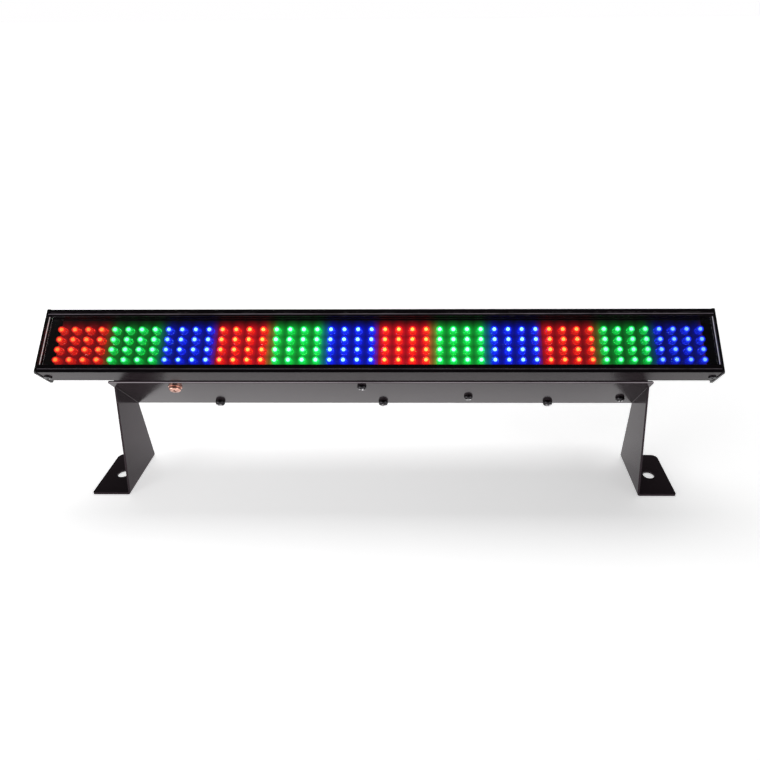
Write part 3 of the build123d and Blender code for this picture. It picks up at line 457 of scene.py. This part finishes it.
def tinted_filter(name):
    """Dark red see-through plastic over the digits, faintly hazed."""
    s = Shader(name)
    p = s.coordinates()
    haze = s.noise(p, 1400.0, 3.0)
    return s.finish(s.principled(
        Base_Color=s.mix(haze, (0.20, 0.004, 0.004), (0.27, 0.01, 0.008)),
        Roughness=s.math("MULTIPLY_ADD", haze, 0.06, 0.05), IOR=1.49, Transmission_Weight=0.85,
    ))


def insulation(name, tint, stripe=None):
    """Wire insulation: smooth extruded plastic, with a second colour as a long stripe."""
    s = Shader(name)
    p = s.coordinates()
    wave = s.noise(s.vector("MULTIPLY", p, (60.0, 900.0, 900.0)), 1.0, 2.0)
    colour = s.mix(wave, [c * 0.85 for c in tint], tint)
    if stripe:
        colour = s.mix(s.ramp(wave, 0.5, 0.54), colour, stripe)
    return s.finish(s.principled(
        Base_Color=colour, Roughness=s.math("MULTIPLY_ADD", wave, 0.15, 0.35),
        Normal=s.bump(wave, 0.1, 0.00005),
    ))


def lit_segments(name):
    """Glowing red bars of the digits."""
    s = Shader(name)
    grain = s.noise(s.coordinates(), 2600.0, 2.0)
    tone = s.mix(grain, (1.0, 0.05, 0.02), (1.0, 0.16, 0.05))
    strength = s.math("MULTIPLY_ADD", grain, 2.0, 3.0)
    return s.finish(s.principled(Base_Color=tone, Emission_Color=tone, Emission_Strength=strength))


MATERIALS = {
    "extrusion_black": anodised("anodised_extrusion"),
    "cap_black": moulded("gloss_cap", (0.0030, 0.0026, 0.0030), 0.12, 0.03, 0.0006),
    "sheet_black": powder_coat("satin_sheet", (0.0150, 0.0102, 0.0125), 0.12),
    "screw_black": metal("black_zinc", (0.045, 0.043, 0.046), 0.14, (0.95, 0.93, 0.95), 0.16),
    "earth_copper": metal("bright_copper", (0.90, 0.50, 0.40), 0.20, (1.0, 0.75, 0.68), 0.10),
    "clear_acrylic": acrylic("clear_acrylic_sheet"),
    "led_board_black": board(
        "black_led_board", (0.004, 0.0038, 0.0045), (0.010, 0.0095, 0.011), lit=True,
    ),
    "circuit_green": board("green_circuit_board", (0.012, 0.10, 0.045), (0.03, 0.19, 0.085)),
    "black_plastic": moulded("black_moulding", (0.018, 0.018, 0.019), 0.42),
    "grey_plastic": moulded("grey_button", (0.26, 0.26, 0.27), 0.38),
    "nickel": metal("satin_nickel", (0.62, 0.60, 0.56), 0.26, (0.85, 0.83, 0.80)),
    "bare_aluminium": metal("mill_aluminium", (0.78, 0.79, 0.81), 0.34),
    "white_plastic": moulded("white_nylon", (0.80, 0.80, 0.77), 0.45),
    "red_filter": tinted_filter("display_filter_red"),
    "fuse_glass": acrylic("fuse_tube"),
    "thermal_grey": moulded("thermal_silicone", (0.36, 0.38, 0.40), 0.6),
    "ferrite_grey": moulded("ferrite_and_tape", (0.10, 0.10, 0.11), 0.55),
    "capacitor_sleeve": moulded("shrink_sleeve", (0.025, 0.035, 0.09), 0.25, 0.02),
    "earth_wire": insulation("earth_insulation", (0.08, 0.42, 0.05), (0.80, 0.70, 0.04)),
    "wire_black": insulation("black_insulation", (0.02, 0.02, 0.02)),
    "ribbon_grey": insulation("ribbon_insulation", (0.45, 0.46, 0.47)),
}
for subpart in frame["record"]["subparts"]:
    node = NODES[subpart["node"]]
    material = MATERIALS.get(subpart["material_slot"])
    if material:
        if not node.data.materials:
            node.data.materials.append(material)
        for slot in node.material_slots:
            slot.material = material


# ---- mesh helpers ------------------------------------------------------------------------
def new_object(name, verts, faces, material, smooth=True):
    """A mesh object from millimetre points in the bar's directions, placed in the frame."""
    mesh = bpy.data.meshes.new(name)
    mesh.from_pydata([BAR @ (Vector(v) * MM) for v in verts], [], faces)
    mesh.materials.append(material)
    if smooth:
        mesh.polygons.foreach_set("use_smooth", [True] * len(mesh.polygons))
    mesh.update()
    made = bpy.data.objects.new(name, mesh)
    bpy.context.scene.collection.objects.link(made)
    return made


def lathe(profile, segments):
    """A profile of (radius, height) turned about the upright axis, with a flat at each end."""
    verts, faces = [], []
    for radius, height in profile:
        for step in range(segments):
            angle = 2 * math.pi * step / segments
            verts.append((radius * math.cos(angle), radius * math.sin(angle), height))
    for ring in range(len(profile) - 1):
        for step in range(segments):
            after = (step + 1) % segments
            low, high = ring * segments, (ring + 1) * segments
            faces.append((low + step, low + after, high + after, high + step))
    faces.append(tuple(reversed(range(segments))))
    top = (len(profile) - 1) * segments
    faces.append(tuple(range(top, top + segments)))
    return verts, faces


def block(x0, x1, y0, y1, z0, z1):
    """An upright box between two corners."""
    verts = [(x, y, z) for z in (z0, z1) for y in (y0, y1) for x in (x0, x1)]
    faces = [(0, 2, 3, 1), (4, 5, 7, 6), (0, 1, 5, 4), (2, 6, 7, 3), (0, 4, 6, 2), (1, 3, 7, 5)]
    return verts, faces


def joined(shapes):
    """Several shapes of (verts, faces) as one."""
    verts, faces = [], []
    for part_verts, part_faces in shapes:
        start = len(verts)
        verts += part_verts
        faces += [tuple(start + i for i in face) for face in part_faces]
    return verts, faces


def repeated(shape, spots, height):
    """The shape at each (X, rise), with its own zero at a height above the nose plane."""
    shapes = []
    for x, rise in spots:
        shapes.append(([(x + vx, rise + vy, height + vz) for vx, vy, vz in shape[0]], shape[1]))
    return joined(shapes)


# ---- LEDs: clear lens, lead frame with its cup, lit chip -----------------------------------
LENS_FLANGE = (
    (2.55, 0.0), (2.85, 0.12), (2.85, 0.88), (2.74, 1.0), (2.56, 1.02), (LENS_RADIUS, 1.12),
)
LENS_SEGMENTS, SMALL_SEGMENTS = 26, 14
DOME_BASE = LED_HEIGHT - LENS_RADIUS
DOME_STEPS, DOME_END, DOME_FLATNESS = 9, 87.0, 0.99
FRAME_FOOT, FRAME_TOP, FRAME_HALF_THICK = 0.05, 2.9, 0.25
CUP = ((0.75, 2.4), (0.95, 3.5), (0.80, 3.52), (0.55, 3.1), (0.05, 3.08))
CHIP_RADIUS, CHIP_BELOW_TIP = 1.0, 2.3
CHIP_HEIGHT = LED_HEIGHT - CHIP_BELOW_TIP
CHIP_FLAT, CHIP_FOOT, CHIP_STRETCH = 0.12, 0.8, 1.05
CHIP_STEPS, CHIP_SPAN = 8, 160


def lens_profile():
    """The flange, the straight side and the dome, which ends just short of its tip."""
    points = list(LENS_FLANGE)
    for step in range(DOME_STEPS + 1):
        angle = math.radians(DOME_END) * step / DOME_STEPS
        height = DOME_BASE + LENS_RADIUS * math.sin(angle) * DOME_FLATNESS
        points.append((LENS_RADIUS * math.cos(angle), height))
    return points


def lead_frame():
    """Two posts; the left one carries the cup."""
    thick = FRAME_HALF_THICK
    post = block(-1.5, -0.9, -thick, thick, FRAME_FOOT, FRAME_TOP)
    anvil = block(-1.5, 0.1, -thick, thick, 2.1, FRAME_TOP)
    whisker_post = block(0.9, 1.4, -thick, thick, FRAME_FOOT, 3.3)
    return joined([post, anvil, whisker_post, lathe(CUP, SMALL_SEGMENTS)])


def chip_glow():
    """A rounded hot body in the cup."""
    radius, middle = CHIP_RADIUS, CHIP_HEIGHT
    points = [(CHIP_FLAT, middle - radius * CHIP_FOOT)]
    for step in range(1, CHIP_STEPS):
        angle = math.radians(-CHIP_SPAN / 2 + CHIP_SPAN * step / CHIP_STEPS)
        height = middle + radius * CHIP_STRETCH * math.sin(angle)
        points.append((radius * math.cos(angle), height))
    points.append((CHIP_FLAT, middle + radius * CHIP_STRETCH))
    return lathe(points, SMALL_SEGMENTS)


LEAD_METAL = metal("lead_frame_silver", (0.72, 0.70, 0.68), 0.3)
for colour in COLOURS:
    spots = led_spots(colour)
    verts, faces = repeated(lathe(lens_profile(), LENS_SEGMENTS), spots, -BOARD_DEPTH)
    lenses = new_object(f"led_lenses_{colour}", verts, faces, led_lens(f"epoxy_{colour}", colour))
    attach(lenses, "batten")
    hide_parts(f"leds_{colour}")
    verts, faces = repeated(lead_frame(), spots, -BOARD_DEPTH)
    frames = new_object(f"led_lead_frames_{colour}", verts, faces, LEAD_METAL, smooth=False)
    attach(frames, "batten")
    verts, faces = repeated(chip_glow(), spots, -BOARD_DEPTH)
    chips = new_object(f"led_chips_{colour}", verts, faces, led_core(f"lit_chip_{colour}", colour))
    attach(chips, "batten")

# ---- pan-head screws on the web, with a cross recess -----------------------------------------
WEB_UNDERSIDE = 0.5
SHANK_RADIUS = 1.4
TIP_SHARE, TIP_LENGTH = 0.6, 0.8
HEAD_RINGS, HEAD_SEGMENTS = 16, 64
FOOT_SHARE, FOOT_HEIGHT = 0.96, 0.06
RIM_HEIGHT, CROWN_HEIGHT, CROWN_POWER = 0.34, 0.66, 2.6
CROSS_HALF_WIDTH, CROSS_REACH, CROSS_DEPTH, CROSS_DISH = 0.18, 0.66, 0.40, 1.15
FIRST_TURN = 0.5
RECESS_WALL_LEAN, RECESS_WALL_HEIGHT = 0.36, 0.5
SCREW_SETS = {
    "cover_rear_screws": (3.8, 3.9, 5.5, [(-132.5, 67.0), (0.0, 67.0), (132.5, 67.0)]),
    "board_screws": (3.45, 3.1, 6.5, [(-13.5, 30.0), (68.0, 54.0), (188.0, 57.7)]),
}


def pan_screw(radius, height, shank_length):
    """Head pointing up from zero, shank below it; the recess is pressed into the crown."""
    rim, crown = RIM_HEIGHT * height, CROWN_HEIGHT * height
    profile = [
        (SHANK_RADIUS * TIP_SHARE, -shank_length),
        (SHANK_RADIUS, -shank_length + TIP_LENGTH),
        (SHANK_RADIUS, 0.0),
        (radius * FOOT_SHARE, 0.0),
        (radius, FOOT_HEIGHT * height),
        (radius, rim),
    ]
    for ring in range(1, HEAD_RINGS):
        share = 1 - ring / HEAD_RINGS
        profile.append((radius * share, rim + crown * math.sqrt(1 - share ** CROWN_POWER)))
    verts, faces = lathe(profile, HEAD_SEGMENTS)
    pressed = []
    for x, y, z in verts:
        near, far = sorted((abs(x) / radius, abs(y) / radius))
        if z > rim and near < CROSS_HALF_WIDTH and far < CROSS_REACH:
            z -= height * CROSS_DEPTH * (CROSS_DISH - far)
        pressed.append((x, y, z))
    return pressed, faces


WORN_ZINC = metal("worn_zinc", (0.62, 0.60, 0.62), 0.25, (0.95, 0.93, 0.95), 0.12)
for node_name, (radius, height, shank_length, spots) in SCREW_SETS.items():
    shapes = []
    for turn, (x, depth) in enumerate(spots):
        verts, faces = pan_screw(radius, height, shank_length)
        cosine, sine = math.cos(FIRST_TURN + turn), math.sin(FIRST_TURN + turn)
        placed = [
            (x + a * cosine - b * sine, WEB_UNDERSIDE - c, -depth - a * sine - b * cosine)
            for a, b, c in verts
        ]
        shapes.append((placed, [tuple(reversed(face)) for face in faces]))
    heads = new_object(f"{node_name}_detail", *joined(shapes), MATERIALS["screw_black"])
    heads.data.materials.append(WORN_ZINC)
    for face in heads.data.polygons:
        lean = abs(face.normal.dot(RISE))
        start = (WEB_UNDERSIDE - RECESS_WALL_HEIGHT * height) * MM
        in_crown = RISE.dot(face.center - NOSE) < start
        if in_crown and lean < RECESS_WALL_LEAN:
            face.material_index = 1
    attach(heads, "batten")
    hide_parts(node_name)

# ---- display in the rear wall: three digits behind the filter --------------------------------
DISPLAY_X, DISPLAY_RISE, DISPLAY_DEPTH = -62.0, 25.5, 69.8
DIGIT_WIDTH, DIGIT_HEIGHT, DIGIT_PITCH = 5.6, 10.2, 8.6
SEGMENT_WIDTH, SEGMENT_GAP = 1.15, 0.25
SEGMENT_SUNK, SEGMENT_PROUD = 0.05, 0.12
SEGMENTS = {
    "a": (0, 1, True), "g": (0, 0, True), "d": (0, -1, True),
    "f": (-1, 0.5, False), "b": (1, 0.5, False), "e": (-1, -0.5, False), "c": (1, -0.5, False),
}
LIT = {"0": "abcdef", "1": "bc"}


def segment_shape(digit, name):
    """One bar of a digit, seen from behind the bar: the reader's right is -X."""
    u, v, level = SEGMENTS[name]
    u, v = u * DIGIT_WIDTH / 2, v * DIGIT_HEIGHT / 2
    half = (DIGIT_WIDTH if level else DIGIT_HEIGHT / 2) / 2 - SEGMENT_GAP
    tip = SEGMENT_WIDTH / 2
    ring = [
        (-half, 0), (-half + tip, tip), (half - tip, tip),
        (half, 0), (half - tip, -tip), (-half + tip, -tip),
    ]
    if not level:
        ring = [(b, a) for a, b in ring]
    middle = DISPLAY_X + DIGIT_PITCH * (1 - digit)
    verts = []
    for depth in (DISPLAY_DEPTH - SEGMENT_SUNK, DISPLAY_DEPTH + SEGMENT_PROUD):
        verts += [(middle - (u + a), DISPLAY_RISE + v + b, -depth) for a, b in ring]
    faces = [tuple(range(6)), tuple(reversed(range(6, 12)))]
    faces += [(i, (i + 1) % 6, (i + 1) % 6 + 6, i + 6) for i in range(6)]
    return verts, faces


lit, unlit = [], []
for digit, character in enumerate("001"):
    for name in SEGMENTS:
        (lit if name in LIT[character] else unlit).append(segment_shape(digit, name))
for name, shapes, material in (
    ("display_digits", lit, lit_segments("lit_segment")),
    ("display_dark_segments", unlit, moulded("dark_segment", (0.05, 0.012, 0.012), 0.3)),
):
    piece = new_object(name, *joined(shapes), material, smooth=False)
    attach(piece, "batten")

# ---- stage: pale floor, soft light, camera ---------------------------------------------------
CAMERA_PLACE = Vector((38.8, -419.2, 326.1)) * MM
CAMERA_YAW, CAMERA_PITCH, CAMERA_ROLL = (math.radians(a) for a in (-1.03, 31.16, -0.51))
LENS_MM = 29.26
SHIFT = (-0.0549, 0.0118)
SENSOR_WIDTH = 36.0
CLIP_START, CLIP_END = 0.01, 50.0
FLOOR_HALF, FLOOR_DROP = 60.0, 0.0002
# Painted shade on the floor: its centre and reach, and the glow near it and far away.
SHADE_MIDDLE, SHADE_REACH = (0.20, 0.06, 0.0), 1.3
SHADED_FLOOR_GLOW, FAR_FLOOR_GLOW = 0.44, 1.05
HORIZON, OVERHEAD = (0.12, 1.0), (0.60, 0.04)
WORLD_COLOUR = (1.0, 0.995, 1.0, 1.0)
AREA_LIGHTS = (
    ("front_left", (-1.5, -1.3, 0.45), (0, 0, 0.08), (0.9, 0.6), 9.0),
    ("front_right", (1.6, -1.1, 0.45), (0, 0, 0.08), (0.9, 0.6), 3.0),
    ("high_back", (0, 0.8, 2.0), (0, 0, 0.05), (2.2, 0.9), 20.0),
)


def stage_floor():
    """A pale floor whose glow is painted weaker round a point near the batten's right end, as painted shade; it
    glows more further away, which keeps its far part white.
    """
    s = Shader("pale_floor")
    p = s.coordinates()
    mottle = s.noise(p, 6.0, 4.0)
    away = s.vector("LENGTH", s.vector("SUBTRACT", p, SHADE_MIDDLE))
    colour = s.mix(mottle, (0.93, 0.93, 0.93), (0.97, 0.97, 0.97))
    # Painted shade: the floor's glow is lowest at SHADE_MIDDLE and rises to the far value over SHADE_REACH.
    glow = s.ramp(away, 0.0, SHADE_REACH, SHADED_FLOOR_GLOW, FAR_FLOOR_GLOW, smooth=False)
    surface = s.principled(
        Base_Color=colour, Roughness=s.math("MULTIPLY_ADD", mottle, 0.1, 0.75),
        Normal=s.bump(s.noise(p, 900.0, 2.0), 0.03, 0.0002),
        Emission_Color=colour, Emission_Strength=glow,
    )
    size = FLOOR_HALF
    corners = [(-size, -size, 0), (size, -size, 0), (size, size, 0), (-size, size, 0)]
    mesh = bpy.data.meshes.new("floor")
    mesh.from_pydata(corners, [], [(0, 1, 2, 3)])
    mesh.materials.append(s.finish(surface))
    floor = bpy.data.objects.new("floor", mesh)
    floor.location.z = -FLOOR_DROP
    bpy.context.scene.collection.objects.link(floor)


def area_light(name, place, target, size, power):
    """A rectangular soft light aimed at a target."""
    data = bpy.data.lights.new(name, "AREA")
    data.shape = "RECTANGLE"
    data.size, data.size_y = size
    data.energy = power
    light = bpy.data.objects.new(name, data)
    light.location = place
    light.rotation_mode = "QUATERNION"
    light.rotation_quaternion = (Vector(target) - Vector(place)).to_track_quat("-Z", "Y")
    bpy.context.scene.collection.objects.link(light)


def studio_world():
    """Surroundings that are white up to the horizon's height and fade to dark overhead."""
    world = bpy.data.worlds.new("studio")
    bpy.context.scene.world = world
    world.use_nodes = True
    tree = world.node_tree
    background = tree.nodes["Background"]
    direction = tree.nodes.new("ShaderNodeTexCoord").outputs["Generated"]
    split = tree.nodes.new("ShaderNodeSeparateXYZ")
    tree.links.new(direction, split.inputs[0])
    fade = tree.nodes.new("ShaderNodeMapRange")
    fade.interpolation_type = "SMOOTHSTEP"
    tree.links.new(split.outputs["Z"], fade.inputs["Value"])
    for end, (height, light) in (("Min", HORIZON), ("Max", OVERHEAD)):
        fade.inputs[f"From {end}"].default_value = height
        fade.inputs[f"To {end}"].default_value = light
    tree.links.new(fade.outputs[0], background.inputs["Strength"])
    background.inputs["Color"].default_value = WORLD_COLOUR


def camera():
    """The photograph's camera, fitted to the LED grid and the corners of the batten."""
    data = bpy.data.cameras.new("camera")
    data.lens = LENS_MM
    data.sensor_width = SENSOR_WIDTH
    data.shift_x, data.shift_y = SHIFT
    data.clip_start, data.clip_end = CLIP_START, CLIP_END
    made = bpy.data.objects.new("camera", data)
    forward = Vector((
        math.sin(CAMERA_YAW) * math.cos(CAMERA_PITCH),
        math.cos(CAMERA_YAW) * math.cos(CAMERA_PITCH),
        -math.sin(CAMERA_PITCH),
    ))
    made.rotation_mode = "QUATERNION"
    level = forward.to_track_quat("-Z", "Y")
    made.rotation_quaternion = level @ Matrix.Rotation(CAMERA_ROLL, 4, "Z").to_quaternion()
    made.location = CAMERA_PLACE
    bpy.context.scene.collection.objects.link(made)
    bpy.context.scene.camera = made


stage_floor()
studio_world()
for light in AREA_LIGHTS:
    area_light(*light)
camera()
bpy.context.scene.view_settings.view_transform = "Standard"
